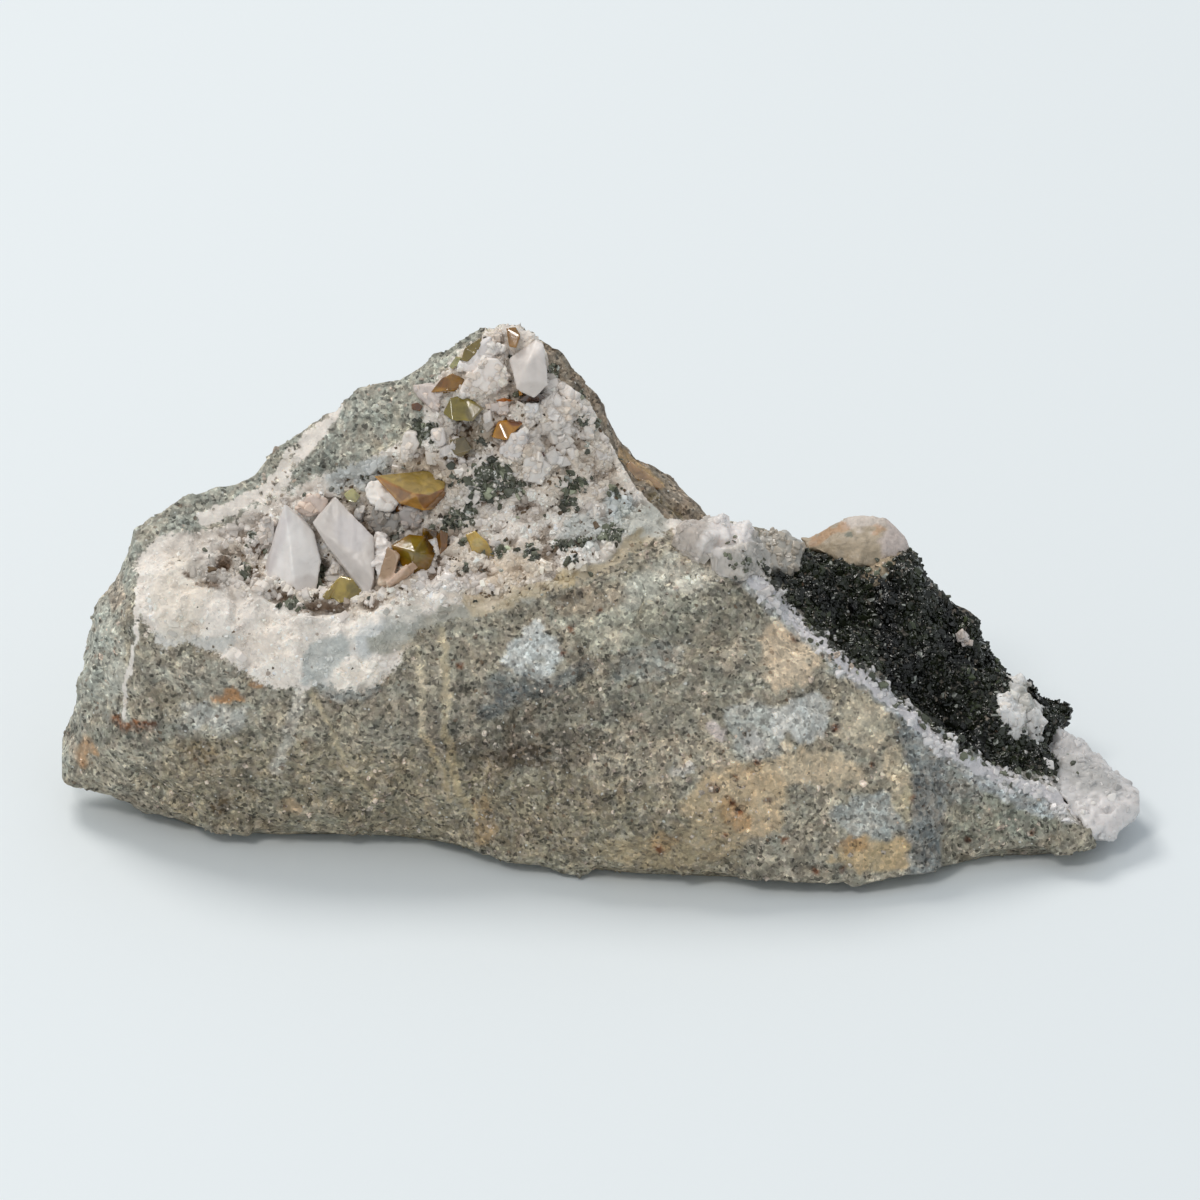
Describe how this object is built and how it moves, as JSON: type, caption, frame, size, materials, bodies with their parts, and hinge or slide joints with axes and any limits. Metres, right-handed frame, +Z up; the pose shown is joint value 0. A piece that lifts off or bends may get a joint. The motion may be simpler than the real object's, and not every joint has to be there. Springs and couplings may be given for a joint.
{
  "type": "titanite crystal specimen",
  "caption": "Loose mineral specimen: amber titanite and milky feldspar crystals in an open vein of grey-green gneiss, with a dark chlorite crust. Rests on a flat underside for display.",
  "frame": {"origin": "under the middle of the specimen, on the surface that it rests on", "axes": "+X along the stone to the right of its front, +Y to its back, +Z up"},
  "size_m": [0.1202, 0.048, 0.0554],
  "materials": {
    "gneiss": "rough broken stone with a fine salt-and-pepper grain",
    "feldspar": "rough sugary crystals, milky",
    "stained_feldspar": "smooth, beige with rusty stains",
    "adularia": "smooth faces, milky and slightly translucent",
    "adularia_pink": "smooth faces, salmon pink, slightly translucent",
    "quartz": "milky, translucent at its edges",
    "chlorite": "very fine glittering flakes, almost black green",
    "titanite_amber": "glossy faces, clear amber brown",
    "titanite_olive": "glossy faces, clear olive yellow"
  },
  "bodies": {
    "root": {"gneiss_matrix": "gneiss", "feldspar_crust": "feldspar", "chlorite_crust": "chlorite", "feldspar_lobe": "stained_feldspar", "quartz_tip": "quartz", "quartz_clump": "quartz", "quartz_saddle": "quartz", "adularia_tent": "adularia", "adularia_slab": "adularia", "adularia_shield": "adularia", "adularia_block": "adularia", "adularia_peak": "adularia", "adularia_pink_prism": "adularia_pink", "titanite_main": "titanite_amber", "titanite_olive": "titanite_olive", "titanite_seed": "titanite_olive", "titanite_plate": "titanite_olive", "titanite_upper_amber": "titanite_amber", "titanite_upper_olive": "titanite_olive", "titanite_blade": "titanite_olive", "titanite_peak": "titanite_amber", "titanite_orange": "titanite_amber", "titanite_edge": "titanite_amber", "titanite_yellow": "titanite_olive"}
  },
  "joints": []
}
